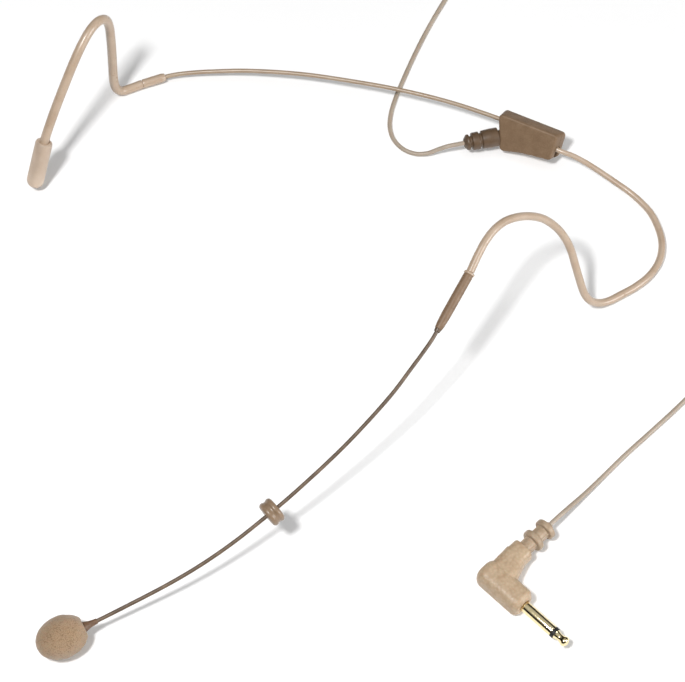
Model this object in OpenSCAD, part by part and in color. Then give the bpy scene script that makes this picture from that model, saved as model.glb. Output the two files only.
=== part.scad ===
// Two-ear headset microphone: a spring neckband with a hook for each ear, a thin boom that swivels
// in the left hook and carries a foam-covered capsule, a splice block at the nape with a strain
// relief, and a thin lead that ends in a right-angle 3.5 mm mono plug.
// It stands on a table with its hooks upright. +Z is up, -Y is where the wearer looks,
// +X is the wearer's left. The origin is at the table, under the middle of the headset.

/* [Ear hooks] */
// Outer diameter of the right ear hook
right_hook_d = 3.1; // [2.4:0.1:3.4]
// Outer diameter of the left ear hook
left_hook_d = 2.6; // [2:0.1:2.8]
// Outer diameter of the clear end cap
cap_d = 5.8; // [4.8:0.1:6.2]
// Length of the clear end cap
cap_len = 18; // [14:0.5:20]

/* [Neckband] */
// Outer diameter of the coated wire on the right side
right_band_d = 1.5; // [1.1:0.05:1.6]
// Outer diameter of the left jacket where it leaves the splice block
left_band_d = 1.7; // [1.6:0.05:2.4]
// Diameter of the spring wire in the right side
right_wire_d = 0.9; // [0.6:0.05:0.9]
// Diameter of the spring wire in the left side
left_wire_d = 0.7; // [0.5:0.05:0.7]

/* [Splice block] */
// Thickness of the block, both covers together
block_t = 6; // [5.6:0.1:6.6]
// How far the block leans back from upright
block_lean = 32; // [20:1:40]
// Wall thickness of its covers
block_wall = 0.9; // [0.7:0.1:1.1]

/* [Boom] */
// Outer diameter of the boom tube
boom_d = 1.25; // [1:0.05:1.3]
// Outer diameter of the sleeve that the boom swivels in
sleeve_d = 3.1; // [3:0.1:3.6]
// Length of that sleeve
sleeve_len = 20.4; // [19:0.2:21]
// Outer diameter of the sweat ring
ring_d = 8.2; // [6:0.2:9]
// Length of the sweat ring
ring_len = 4.4; // [3:0.2:6]

/* [Capsule] */
// Outer diameter of the capsule housing
capsule_d = 4.4; // [3.8:0.1:4.6]
// Length of the capsule housing
capsule_len = 7; // [6:0.5:7.5]
// Diameter of the foam windscreen
foam_d = 13; // [10:0.5:13]
// Length of the foam windscreen
foam_len = 15.4; // [13:0.2:17]

/* [Lead and plug] */
// Diameter of the lead
lead_d = 1.5; // [1.2:0.1:1.6]
// Turns' middle diameter in the stored coil
coil_mean_d = 16.6; // [15:0.2:20]
// Length of the plug's shaft, from the body's face to the tip
shaft_len = 17.6; // [14:0.2:19]
// Diameter of the plug's moulded body
plug_body_d = 8.6; // [8:0.2:8.8]

/* [Hidden] */

tan_soft = [0.79, 0.65, 0.51];
tan_dark = [0.55, 0.42, 0.31];
tan_hard = [0.66, 0.53, 0.41];
boom_brown = [0.36, 0.25, 0.17];
clear_cap = [0.86, 0.78, 0.68, 0.7];
foam_tan = [0.75, 0.57, 0.44];
steel = [0.72, 0.72, 0.73];
brass = [0.80, 0.66, 0.32];
gold = [0.88, 0.74, 0.40];
black = [0.06, 0.06, 0.06];
copper = [0.72, 0.42, 0.22];
board_green = [0.16, 0.36, 0.22];

SMOOTH = 48;
GAP = 0.05;

// Route of the right side: cap tip, over the ear, down behind it, then along the neckband
RIGHT_ROUTE = [
    [-97.8, 26.8, 5.2], [-97.4, 30.4, 11.9], [-97, 33.9, 18.6], [-96.5, 38.5, 24.6],
    [-96, 43.5, 30], [-95.4, 48.5, 35.2], [-94.9, 53.5, 39.8], [-94.4, 58.7, 43.6], [-93.9, 63.7, 45.8],
    [-93.4, 68.1, 45.6], [-93, 71.5, 42.6], [-92.9, 72.9, 37.4], [-92.9, 72.9, 31], [-92.9, 72.5, 24],
    [-93, 72, 16.6], [-93, 71.5, 9.4], [-92.6, 71.8, 4.6], [-91.4, 73.1, 2.1], [-89.2, 75.9, 1.6],
    [-86.6, 79, 1.8], [-83.7, 82.1, 2.1], [-80.8, 84.9, 2.4], [-77.6, 87.4, 2.7],
    [-73.5, 89.9, 3.1], [-67.2, 93.3, 3.6], [-55.4, 98.8, 4.6], [-39.1, 104.5, 6],
    [-22.2, 109, 7], [-5.1, 112.7, 8], [12.3, 115.3, 8.7], [29.4, 116.4, 9.2], [38, 116.2, 9.5]
];
// Route of the left side: inside the splice block, along the neckband, up behind the ear and over it
LEFT_ROUTE = [
    [46, 115.1, 7.6], [53.8, 114.9, 7.5], [57.6, 115.3, 7.1], [62, 115.4, 6.3], [66, 115.2, 5.4],
    [70.6, 114.7, 4.5], [75, 114.1, 3.7], [79.6, 113.4, 2.9], [84.3, 112, 2.3],
    [89, 109.8, 1.8], [93, 106.4, 1.5], [96.3, 102.3, 1.4], [98.4, 97.7, 1.4], [99.2, 92.5, 1.4],
    [98.4, 86.7, 1.4], [96.2, 81.3, 1.4], [93.5, 76.8, 1.4], [90.8, 72.5, 1.6], [88.4, 69.5, 2.9],
    [85.9, 67.3, 5.8], [83.6, 66.9, 9.4], [80.9, 68.1, 14.4], [78.2, 69.7, 19.4], [76, 70.9, 23.6],
    [73.5, 71.5, 27.8], [70.4, 71.1, 32.5], [66.6, 69.1, 37.8], [63.3, 65.9, 41.8],
    [60.2, 61.8, 44.9], [57.7, 57.3, 46.9], [56.2, 52.7, 47.5], [55.4, 47.9, 46.9],
    [55.1, 43, 45], [55.1, 38.1, 42.9]
];
// Route of the boom: out of the sleeve, round the cheek, to the capsule
BOOM_ROUTE = [
    [53.8, 18.7, 36.7], [53.5, 15.1, 35.5], [52.8, 10.9, 34.2], [51.5, 4.2, 32.2],
    [50, -3.1, 29.9], [48.2, -9.7, 27.9], [46.3, -15.9, 26.1], [44.3, -21.9, 24.3],
    [42.2, -27.7, 22.7], [40, -33.4, 21.2], [37.8, -38.9, 19.9], [35.9, -43.5, 18.75],
    [34.2, -47.4, 17.75], [32.5, -51.1, 16.85], [30.8, -54.7, 16], [27.4, -61.7, 14.3],
    [23.6, -68.9, 12.8], [19.5, -75.9, 11.5], [15.3, -82.3, 10.3], [11, -88.4, 9.3],
    [6.8, -94.1, 8.4], [3.2, -99, 7.7], [0.1, -103.2, 7.2]
];
// Middle of the foam windscreen
FOAM_AT = [-6.6, -112, foam_d / 2];
// Point of the boom's route that the sweat ring sits at
RING_POINT = 13;

// Where the lead leaves the strain relief, and the relief's root inside the block
RELIEF_ROOT = [33, 113.3, 5];
RELIEF_END = [22.8, 104.8, 5];
// Route of the lead from the strain relief, down to the table and away to the coil
LEAD_OUT_ROUTE = [
    RELIEF_END, [20.7, 103.05, 5], [18.4, 101.5, 4.5], [15.8, 99.8, 3.2], [12.8, 97.7, 1.6],
    [9, 96.1, 0.85], [4.4, 96, 0.8], [-0.2, 98.1, 0.8], [-3.6, 102.1, 0.8], [-5.8, 107.5, 0.8],
    [-7.2, 114, 0.8], [-8.2, 121.5, 0.8], [-9.2, 130.5, 0.8], [-10, 140.5, 0.8], [-10.4, 150.5, 0.8],
    [-10.4, 160.5, 0.8], [-10, 168.5, 0.85], [-10.4, 174.9, 1.15]
];
// Middle of the stored coil, which lies on its tie
COIL_AT = [-2, 182.5, 0.42];
// Route of the lead from the coil round to the plug
LEAD_IN_ROUTE = [
    [1, 193.4, 3.8], [7, 193.2, 3], [13.5, 193.6, 1.6], [22, 195.2, 0.85], [32, 197.3, 0.8],
    [42, 199.9, 0.8], [52, 202.5, 0.8], [62, 203.5, 0.8], [72, 201.5, 0.8], [81, 195.1, 0.8],
    [87, 185.5, 0.8], [92, 174.5, 0.8], [96.8, 162.5, 0.8], [101.5, 150.5, 0.8], [106.2, 138.5, 0.8],
    [111, 126.5, 0.8], [116, 114.5, 0.8], [121, 103, 0.8], [126, 92, 0.8], [129.6, 81, 0.8],
    [131, 69.5, 0.8], [129.2, 58, 0.8], [125.9, 46.5, 0.8], [122, 35, 0.8], [118, 23.5, 0.8],
    [114.8, 12.9, 1], [112.5, 5.1, 1.8], [110.4, -1.7, 3.1], [108.9, -6.6, 4.1],
    [107.5, -11.1, 4.4], [105.6, -16.9, 4.4], [103.8, -22.5, 4.4]
];

// Plug: middle of the face that the shaft stands on, and the shaft's heading
PLUG_FACE = [112, -39.1, 4.4];
PLUG_HEADING = -18;
plug_body_len = 17.2;
plug_neck_len = 25.3;

// Plug's shaft: its standard diameter, its root's in the body, and the lengths of its pieces
plug_d = 3.5;
plug_root_d = 2.8;
shaft_tip_len = 4.6;
shaft_ring_len = 1.2;
shaft_sleeve_len = shaft_len - shaft_tip_len - shaft_ring_len;

// Splice block: its corner, and the outline of its broad face from end to end
BLOCK_AT = [34, 108.9, 3.5];
BLOCK_OUTLINE = [[0.2, -0.6], [8, 1.5], [19.2, 3.1], [19.2, 12.4], [-3.9, 12]];
BLOCK_CORNER_R = 1.3;
BLOCK_EDGE = 0.7;

// Wires side by side in the left jackets
left_wire_off = 0.29;
left_lead_d = 0.48;
left_lead_off = 0.39;
left_bore_d = 1.42;

// Swivel, measured along the sleeve from its upper end
boom_core_d = 0.7;
pin_d = 1.7;
pin_head_d = 2.3;
sleeve_bore_d = 2.48;
bush_from = 10;
bush_to = 14.4;
SWIVEL_FIT = 0.03;

SLEEVE_TOP = LEFT_ROUTE[len(LEFT_ROUTE) - 1];
SLEEVE_DIR = unit(BOOM_ROUTE[0] - SLEEVE_TOP);
SLEEVE_END = SLEEVE_TOP + sleeve_len * SLEEVE_DIR;
BOOM_END = BOOM_ROUTE[len(BOOM_ROUTE) - 1];
CAPSULE_DIR = unit(FOAM_AT - BOOM_END);
boot_len = 4.2;

function unit(v) = v / norm(v);

// Point at part t of the way from b to c on a smooth curve through a, b, c and d
function curve_point(a, b, c, d, t) =
    0.5 * (2 * b + (c - a) * t + (2 * a - 5 * b + 4 * c - d) * t * t
           + (3 * b - a - 3 * c + d) * t * t * t);

// The route's points with n steps between each two, on one smooth curve
function smooth(p, n) = let(last = len(p) - 1) [
    for (i = [0:last - 1], k = [0:n - 1])
        curve_point(p[max(i - 1, 0)], p[i], p[i + 1], p[min(i + 2, last)], k / n),
    p[last]
];

function part_of(p, from, to) = [for (i = [from:to]) p[i]];

function heading(p, i) = unit(p[min(i + 1, len(p) - 1)] - p[max(i - 1, 0)]);

function across(v, t) = unit(v - (v * t) * t);

// A sideways direction at each point, carried along the route without twist
function sideways(p) = [
    for (i = 0, s = across([0.31, 0.22, 0.93], heading(p, 0)); i < len(p);
         i = i + 1, s = across(s, heading(p, min(i, len(p) - 1)))) s
];

// Rings of points round a route, at radius r[i], moved sideways by off
function rings(p, r, sides, off = 0) = let(s = sideways(p)) [
    for (i = [0:len(p) - 1]) let(t = heading(p, i), b = cross(t, s[i]))
        for (k = [0:sides - 1])
            p[i] + off * s[i] + r[i] * (cos(360 * k / sides) * s[i] + sin(360 * k / sides) * b)
];

function wall_faces(first, count, sides, flip = false) = [
    for (i = [0:count - 2], k = [0:sides - 1])
        let(a = first + i * sides + k, b = first + i * sides + (k + 1) % sides,
            c = b + sides, d = a + sides)
            each (flip ? [[a, b, c], [a, c, d]] : [[a, c, b], [a, d, c]])
];

function same(value, p) = [for (q = p) value];

// A radius that grows evenly from a to b along the route
function taper(a, b, p) = [for (i = [0:len(p) - 1]) a + (b - a) * i / (len(p) - 1)];

// Solid wire or lead along a route
module wire(p, r, sides = 6, off = 0) {
    n = len(p);
    faces = concat(
        wall_faces(0, n, sides),
        [[for (k = [0:sides - 1]) k]],
        [[for (k = [sides - 1:-1:0]) (n - 1) * sides + k]]
    );
    polyhedron(points = rings(p, r, sides, off), faces = faces, convexity = 10);
}

// Hollow jacket along a route, open at both ends
module jacket(p, r_out, r_in, sides = 8) {
    n = len(p);
    inner = n * sides;
    far = (n - 1) * sides;
    near_face = [
        for (k = [0:sides - 1])
            let(b = (k + 1) % sides)
                each [[k, b, inner + b], [k, inner + b, inner + k]]
    ];
    far_face = [
        for (k = [0:sides - 1])
            let(a = far + k, b = far + (k + 1) % sides)
                each [[a, inner + b, b], [a, inner + a, inner + b]]
    ];
    faces = concat(wall_faces(0, n, sides), wall_faces(inner, n, sides, true), near_face, far_face);
    polyhedron(points = concat(rings(p, r_out, sides), rings(p, r_in, sides)), faces = faces,
               convexity = 10);
}

// Puts a shape drawn along +Z at a point, along a direction
module along(from, dir) {
    translate(from)
        rotate([0, acos(dir[2] / norm(dir)), atan2(dir[1], dir[0])])
            children();
}

// Round body turned about Z from an outline of [radius, height] points
module turned(outline) {
    rotate_extrude($fn = SMOOTH)
        polygon(outline);
}

module tube(d_out, d_in, len) {
    difference() {
        cylinder(h = len, d = d_out, $fn = SMOOTH);
        translate([0, 0, -1])
            cylinder(h = len + 2, d = d_in, $fn = SMOOTH);
    }
}

// Quarter-round outline points, from angle a0 to a1, about a centre
function arc(centre, r, a0, a1, n = 8) = [
    for (i = [0:n]) let(a = a0 + (a1 - a0) * i / n) centre + r * [cos(a), sin(a)]
];

right_path = smooth(RIGHT_ROUTE, 2);
left_path = smooth(LEFT_ROUTE, 2);
boom_path = smooth(BOOM_ROUTE, 2);

// Places on the smoothed routes where one jacket ends and the next starts
RIGHT_HOOK_FROM = 1;
RIGHT_HOOK_TO = 38;
RIGHT_BAND_FROM = 42;
RIGHT_BAND_TO = 60;
LEFT_BAND_FROM = 1;
LEFT_HOOK_FROM = 32;

// ---- foam windscreen

MOUTH_ANGLE = 62;

module windscreen() {
    half = foam_len / (1 + sin(MOUTH_ANGLE));
    r = foam_d / 2;
    bore_r = capsule_d / 2 + 0.15;
    bore_end = boot_len + capsule_len + 0.5 - norm(FOAM_AT - BOOM_END);
    steps = 20;
    egg = [
        for (i = [0:steps - 1])
            let(a = -MOUTH_ANGLE + i * (90 + MOUTH_ANGLE) / steps) [r * cos(a), half * sin(a)]
    ];
    outline = concat([[bore_r, egg[0][1]]], egg, [[0, half], [0, bore_end], [bore_r, bore_end]]);
    color(foam_tan)
        along(FOAM_AT, CAPSULE_DIR)
            turned(outline);
}

// ---- capsule, measured from the end of the boom

housing_wall = 0.3;
housing_back_t = 0.5;
housing_bore_d = capsule_d - 2 * housing_wall;
grille_t = 0.5;
electret_len = 2.4;
seal_t = 0.25;
seal_bore_d = 2.6;

// Where each piece in the housing starts, from its front end back
grille_from = boot_len + capsule_len - grille_t - 0.15;
seal_from = grille_from - seal_t - 0.02;
electret_from = seal_from - electret_len - 0.02;

module at_capsule(from) {
    along(BOOM_END, CAPSULE_DIR)
        translate([0, 0, from])
            children();
}

module capsule_housing() {
    color(tan_dark)
        at_capsule(boot_len)
            difference() {
                cylinder(h = capsule_len, d = capsule_d, $fn = SMOOTH);
                translate([0, 0, housing_back_t])
                    cylinder(h = capsule_len, d = housing_bore_d, $fn = SMOOTH);
                translate([0, 0, -1])
                    cylinder(h = 2, d = boom_d + 0.3, $fn = SMOOTH);
            }
}

module capsule_grille() {
    hole_d = 0.6;
    ring_r = 1.15;
    color(steel)
        at_capsule(grille_from)
            difference() {
                cylinder(h = grille_t, d = housing_bore_d - GAP, $fn = SMOOTH);
                translate([0, 0, -1])
                    cylinder(h = grille_t + 2, d = hole_d, $fn = 24);
                for (i = [0:5])
                    rotate([0, 0, 60 * i])
                        translate([ring_r, 0, -1])
                            cylinder(h = grille_t + 2, d = hole_d, $fn = 24);
            }
}

module electret_capsule() {
    color(steel)
        at_capsule(electret_from)
            cylinder(h = electret_len, d = housing_bore_d - 4 * GAP, $fn = SMOOTH);
}

module capsule_seal() {
    color(black)
        at_capsule(seal_from)
            tube(housing_bore_d - GAP, seal_bore_d, seal_t);
}

module capsule_boot() {
    bore_r = boom_d / 2 + GAP;
    color(tan_dark)
        along(BOOM_END, CAPSULE_DIR)
            turned([
                [bore_r, -0.4], [bore_r + 0.14, -0.4], [bore_r + 0.24, 0.6], [bore_r + 0.5, 2],
                [bore_r + 0.9, 3.3], [1.8, boot_len], [bore_r, boot_len]
            ]);
}

// ---- boom

pin_from = 8.9;
pin_head_t = 0.8;
pin_nose_t = 0.9;
pin_nose_r = 1.05;
boom_into_pin = 8.4;
boom_into_boot = 3.4;

boom_line = concat(
    [SLEEVE_END - boom_into_pin * SLEEVE_DIR, SLEEVE_END - boom_into_pin / 2 * SLEEVE_DIR],
    boom_path,
    [BOOM_END + boom_into_boot * CAPSULE_DIR]
);

module boom_tube() {
    color(boom_brown)
        jacket(boom_line, same(boom_d / 2, boom_line), same(boom_core_d / 2, boom_line));
}

module boom_lead() {
    line = concat(boom_line, [BOOM_END + (electret_from - 0.1) * CAPSULE_DIR]);
    color(copper)
        wire(line, same(boom_core_d / 2 - 0.07, line));
}

// ---- swivel in the left hook's sleeve, measured from the sleeve's upper end

module swivel_pin() {
    bore_r = boom_d / 2 + GAP;
    nose_from = sleeve_len + 0.1;
    color(boom_brown)
        along(SLEEVE_TOP, SLEEVE_DIR)
            turned([
                [bore_r, pin_from], [pin_head_d / 2, pin_from],
                [pin_head_d / 2, pin_from + pin_head_t], [pin_d / 2, pin_from + pin_head_t],
                [pin_d / 2, nose_from], [pin_nose_r, nose_from],
                [pin_nose_r - 0.1, nose_from + pin_nose_t],
                [bore_r, nose_from + pin_nose_t]
            ]);
}

module swivel_bush() {
    color(brass)
        along(SLEEVE_TOP, SLEEVE_DIR)
            translate([0, 0, bush_from])
                tube(sleeve_bore_d - GAP, pin_d + 2 * SWIVEL_FIT, bush_to - bush_from);
}

collar_from = 0.2;
collar_t = 0.8;
collar_bore_d = 1.5;

module boom_sleeve() {
    neck_from = bush_to + 0.1;
    taper_from = sleeve_len - 4.6;
    end_r = 1.2;
    r = sleeve_d / 2;
    neck_r = pin_d / 2 + 0.06;
    color(tan_dark)
        along(SLEEVE_TOP, SLEEVE_DIR)
            turned([
                [sleeve_bore_d / 2, collar_from + collar_t], [r, collar_from + collar_t],
                [r, taper_from], [end_r, sleeve_len],
                [neck_r, sleeve_len], [neck_r, neck_from], [sleeve_bore_d / 2, neck_from]
            ]);
}

module sleeve_collar() {
    color(tan_soft)
        along(SLEEVE_TOP, SLEEVE_DIR)
            translate([0, 0, collar_from])
                tube(sleeve_d + 0.4, collar_bore_d, collar_t - 0.01);
}

RING_AT = BOOM_ROUTE[RING_POINT];
RING_DIR = unit(BOOM_ROUTE[RING_POINT + 1] - BOOM_ROUTE[RING_POINT - 1]);

module sweat_ring() {
    lobe = ring_len / 4;
    sweep = 42;
    core_r = ring_d / 2 - lobe;
    bore_r = boom_d / 2 + 0.2;
    outline = concat(
        [[bore_r, -2 * lobe]],
        arc([core_r, -lobe], lobe, -90, sweep),
        arc([core_r, lobe], lobe, -sweep, 90),
        [[bore_r, 2 * lobe]]
    );
    color(tan_dark)
        along(RING_AT, RING_DIR)
            turned(outline);
}

// ---- left hook and left side of the neckband

module left_ear_hook() {
    line = part_of(left_path, LEFT_HOOK_FROM, len(left_path) - 1);
    color(tan_soft)
        jacket(line, same(left_hook_d / 2, line), same(left_bore_d / 2, line), 10);
}

module left_band_jacket() {
    line = part_of(left_path, LEFT_BAND_FROM, LEFT_HOOK_FROM);
    color(tan_soft)
        jacket(line, taper(left_band_d / 2, left_hook_d / 2, line), same(left_bore_d / 2, line), 10);
}

module left_spring_wire() {
    line = concat(left_path, [SLEEVE_TOP + 5 * SLEEVE_DIR]);
    color(steel)
        wire(line, same(left_wire_d / 2, line), 6, -left_wire_off);
}

module left_mic_lead() {
    line = concat(left_path, [SLEEVE_TOP + 8 * SLEEVE_DIR]);
    color(copper)
        wire(line, same(left_lead_d / 2, line), 6, left_lead_off);
}

// ---- right hook and right side of the neckband

CAP_DIR = unit(RIGHT_ROUTE[2] - RIGHT_ROUTE[0]);
CAP_TIP = RIGHT_ROUTE[0] - cap_d / 2 * CAP_DIR;

module right_ear_hook() {
    line = part_of(right_path, RIGHT_HOOK_FROM, RIGHT_HOOK_TO);
    bore = right_wire_d / 2 + GAP;
    color(tan_soft)
        jacket(line, same(right_hook_d / 2, line), same(bore, line), 10);
}

module right_band_coat() {
    line = part_of(right_path, RIGHT_BAND_FROM, RIGHT_BAND_TO);
    bore = right_wire_d / 2 + GAP;
    color(tan_soft)
        jacket(line, same(right_band_d / 2, line), same(bore, line));
}

module right_spring_wire() {
    line = part_of(right_path, RIGHT_HOOK_FROM, len(right_path) - 1);
    color(steel)
        wire(line, same(right_wire_d / 2, line));
}

module right_ferrule() {
    from = right_path[RIGHT_HOOK_TO];
    to = right_path[RIGHT_BAND_FROM];
    dir = unit(to - from);
    r = right_hook_d / 2 - 0.15;
    bore_r = right_wire_d / 2 + 0.25;
    len = norm(to - from) - 0.1;
    color(tan_soft)
        along(from, dir)
            turned([
                [bore_r, 0.3], [r, 0.3], [r, len - 1.4], [r - 0.15, len - 0.7],
                [r - 0.6, len], [bore_r, len]
            ]);
}

module end_cap() {
    r = cap_d / 2;
    bore_r = right_hook_d / 2 + 0.2;
    bore_from = 6;
    lip = 0.5;
    outline = concat(
        [[0, bore_from], [0, 0]],
        arc([0, r], r, -80, 0, 10),
        arc([r - 0.15 - lip, cap_len - lip], lip, 0, 90, 4),
        [[bore_r, cap_len], [bore_r, bore_from]]
    );
    color(clear_cap)
        along(CAP_TIP, CAP_DIR)
            turned(outline);
}

// ---- splice block; its own frame has X along the block, Y through it and Z across it

module at_block() {
    translate(BLOCK_AT)
        rotate([-block_lean, 0, 0])
            children();
}

// The broad face's outline, made smaller all round by inset
module block_outline(inset) {
    offset(r = BLOCK_CORNER_R, $fn = 24)
        offset(delta = -BLOCK_CORNER_R - inset)
            polygon(BLOCK_OUTLINE);
}

module block_layer(inset, from, to) {
    translate([0, to, 0])
        rotate([90, 0, 0])
            linear_extrude(to - from)
                block_outline(inset);
}

module block_form(inset) {
    hull() {
        block_layer(inset + BLOCK_EDGE, inset, block_t - inset);
        block_layer(inset, inset + BLOCK_EDGE, block_t - inset - BLOCK_EDGE);
    }
}

RELIEF_DIR = unit(RELIEF_END - RELIEF_ROOT);
relief_len = norm(RELIEF_END - RELIEF_ROOT);
relief_root_d = 4.4;
relief_body_d = 6.4;
relief_step = 1.6;

// Where the right wire comes in, and the slot that the left jacket leaves by
right_entry = [-1, 3.2, 8.85];
right_entry_d = right_band_d + 0.7;
left_exit = [16, 3.05, 6.66];
SLOT_W = 2.2;
SLOT_H = 5.9;
slot_below = 5;

// Everything that passes through the block's walls
module block_passages() {
    translate(right_entry - [6, 0, 0])
        rotate([0, 90, 0])
            cylinder(h = 8, d = right_entry_d, $fn = 24);
    translate(left_exit - [0, SLOT_W / 2, slot_below])
        cube([8, SLOT_W, SLOT_H]);
}

module relief_passage() {
    along(RELIEF_ROOT, RELIEF_DIR) {
        translate([0, 0, -1.5])
            cylinder(h = 6, d = relief_root_d + 2 * GAP, $fn = SMOOTH);
        translate([0, 0, relief_step - GAP])
            cylinder(h = relief_len, d = relief_body_d + 2 * GAP, $fn = SMOOTH);
    }
}

module block_cover(from, to) {
    difference() {
        at_block()
            difference() {
                intersection() {
                    block_form(0);
                    translate([-20, from, -20])
                        cube([60, to - from, 60]);
                }
                block_form(block_wall);
                block_passages();
            }
        relief_passage();
    }
}

module block_front_cover() {
    color(tan_hard)
        block_cover(-1, block_t / 2 - 0.01);
}

module block_rear_cover() {
    color(tan_hard)
        block_cover(block_t / 2 + 0.01, block_t + 1);
}

clamp_right_at = [0.4, 3.15, 8.9];
clamp_left_at = [11.4, 3.05, 6.68];
clamp_len = 4;
clamp_d = 2.2;
clamp_bore_d = 1.6;
clamp_bar = [1, 0.6, 1.2];

module wire_clamp() {
    color(brass)
        at_block()
            difference() {
                union() {
                    for (p = [clamp_right_at, clamp_left_at])
                        translate(p)
                            rotate([0, 90, 0])
                                cylinder(h = clamp_len, d = clamp_d, $fn = SMOOTH);
                    hull() {
                        translate(clamp_right_at + [2.4, -0.3, -0.6])
                            cube(clamp_bar);
                        translate(clamp_left_at + [0.4, -0.3, -0.6])
                            cube(clamp_bar);
                    }
                }
                for (p = [clamp_right_at, clamp_left_at])
                    translate(p - [1, 0, 0])
                        rotate([0, 90, 0])
                            cylinder(h = clamp_len + 2, d = clamp_bore_d, $fn = SMOOTH);
            }
}

BOARD_AT = [2.4, 2.2, 3.1];
BOARD_SIZE = [6.6, 0.6, 3.2];
JOINT_COLUMNS = [1, 2.6, 4.2, 5.6];
JOINT_ROWS = [0.9, 2.3];
joint_h = 0.45;

module splice_board() {
    color(board_green)
        at_block()
            translate(BOARD_AT)
                cube(BOARD_SIZE);
}

module solder_joints() {
    color(steel)
        at_block()
            for (x = JOINT_COLUMNS, z = JOINT_ROWS)
                translate(BOARD_AT + [x, 0, z])
                    rotate([90, 0, 0])
                        cylinder(h = joint_h, d1 = 0.9, d2 = 0.4, $fn = 24);
}

// How far the cable's tail and the ferrule crimped on it reach into the block
tail_in = 1.2;
ferrule_in = 1;
cable_ferrule_d = 2.3;
cable_ferrule_len = 0.9;

module cable_ferrule() {
    color(brass)
        along(RELIEF_ROOT, RELIEF_DIR)
            translate([0, 0, -ferrule_in])
                tube(cable_ferrule_d, lead_d + 0.08, cable_ferrule_len);
}

module cable_tail() {
    color(tan_soft)
        along(RELIEF_ROOT, RELIEF_DIR)
            translate([0, 0, -tail_in])
                cylinder(h = relief_len + tail_in - 0.02, d = lead_d, $fn = SMOOTH);
}

module strain_relief() {
    bore_r = lead_d / 2 + GAP;
    r = relief_body_d / 2;
    groove = 0.45;
    color(tan_dark)
        along(RELIEF_ROOT, RELIEF_DIR)
            turned([
                [bore_r, 0], [relief_root_d / 2, 0], [relief_root_d / 2, relief_step],
                [r, relief_step], [r - 0.05, 7.2], [r - groove, 7.3], [r - groove, 7.9],
                [r - 0.15, 8], [r - 0.25, 10.6], [r - 0.8, 10.7], [r - 0.8, 11.4],
                [r - 0.4, 11.5], [r - 0.5, 12.5], [r - 1.1, relief_len], [bore_r, relief_len]
            ]);
}

// ---- lead

module lead_from_block() {
    color(tan_soft)
        wire(LEAD_OUT_ROUTE, same(lead_d / 2, LEAD_OUT_ROUTE), 8);
}

module lead_to_plug() {
    color(tan_soft)
        wire(LEAD_IN_ROUTE, same(lead_d / 2, LEAD_IN_ROUTE), 8);
}

COIL_COLUMNS = 5;
COIL_LAYERS = 3;
LAYER_PITCH = 0.88;
coil_w = COIL_COLUMNS * lead_d;
coil_h = lead_d * (1 + (COIL_LAYERS - 1) * LAYER_PITCH);

module lead_coil() {
    color(tan_soft)
        translate(COIL_AT)
            rotate_extrude($fn = SMOOTH)
                translate([(coil_mean_d - coil_w) / 2, 0])
                    square([coil_w, coil_h]);
}

TIE_ANGLE = -50;
tie_w = 3;
tie_t = 0.35;

module lead_tie() {
    slack = 0.3;
    inside = [coil_w + 2 * slack, tie_w + 2, coil_h + 0.1];
    outside = [coil_w + 2 * slack + 2 * tie_t, tie_w, coil_h + 0.1 + 2 * tie_t];
    color(black)
        translate(COIL_AT)
            rotate([0, 0, TIE_ANGLE])
                translate([coil_mean_d / 2 - 0.1, 0, coil_h / 2])
                    difference() {
                        cube(outside, center = true);
                        cube(inside, center = true);
                    }
}

// ---- plug; its own frame has X along the shaft, from the body's face, and Y along the neck

module at_plug() {
    translate(PLUG_FACE)
        rotate([0, 0, PLUG_HEADING])
            children();
}

// Turned about the shaft's axis
module plug_turned(outline) {
    at_plug()
        rotate([0, 90, 0])
            turned(outline);
}

neck_at = plug_body_len - plug_body_d / 2;
neck_body_len = 13.6;
neck_end_d = 7.5;
neck_channel_d = 2.4;
plug_root_len = 9;
neck_bore_d = 4.4;
neck_bore_from = 8;

module plug_body() {
    r = plug_body_d / 2;
    back_r = 2.4;
    front_r = 0.9;
    color(tan_hard)
        difference() {
            union() {
                plug_turned(concat(
                    [[0, -plug_body_len]],
                    arc([r - back_r, back_r - plug_body_len], back_r, -90, 0),
                    arc([r - front_r, -front_r], front_r, 0, 90, 4),
                    [[0, 0]]
                ));
                at_plug()
                    translate([-neck_at, 0, 0])
                        rotate([-90, 0, 0])
                            cylinder(h = neck_body_len, d1 = plug_body_d, d2 = neck_end_d,
                                     $fn = SMOOTH);
            }
            at_plug()
                translate([-plug_root_len - 0.3, 0, 0])
                    rotate([0, 90, 0])
                        cylinder(h = plug_root_len + 1, d = plug_root_d + GAP, $fn = SMOOTH);
            at_plug()
                translate([-neck_at, neck_bore_from, 0])
                    rotate([-90, 0, 0])
                        cylinder(h = neck_body_len, d = neck_bore_d + GAP, $fn = SMOOTH);
            at_plug()
                translate([-neck_at, 0, 0])
                    rotate([-90, 0, 0])
                        cylinder(h = neck_body_len, d = neck_channel_d, $fn = SMOOTH);
        }
}

module plug_strain_relief() {
    bore_r = lead_d / 2 + GAP;
    core_r = neck_bore_d / 2;
    end_r = 1.2;
    rib_r = 3.65;
    rib_t = 2;
    soft = 0.3;
    ribs = [17, 22.3];
    rib_outline = [
        for (y = ribs)
            each [[core_r, y], [rib_r - soft, y], [rib_r, y + soft], [rib_r, y + rib_t - soft],
                  [rib_r - soft, y + rib_t], [core_r - 0.2, y + rib_t]]
    ];
    color(tan_hard)
        at_plug()
            translate([-neck_at, 0, 0])
                rotate([-90, 0, 0])
                    turned(concat(
                        [[bore_r, neck_bore_from + 0.1], [core_r, neck_bore_from + 0.1]],
                        rib_outline,
                        [[end_r, plug_neck_len], [bore_r, plug_neck_len]]
                    ));
}

rod_d = 1;
core_bore_d = 2;

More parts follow.
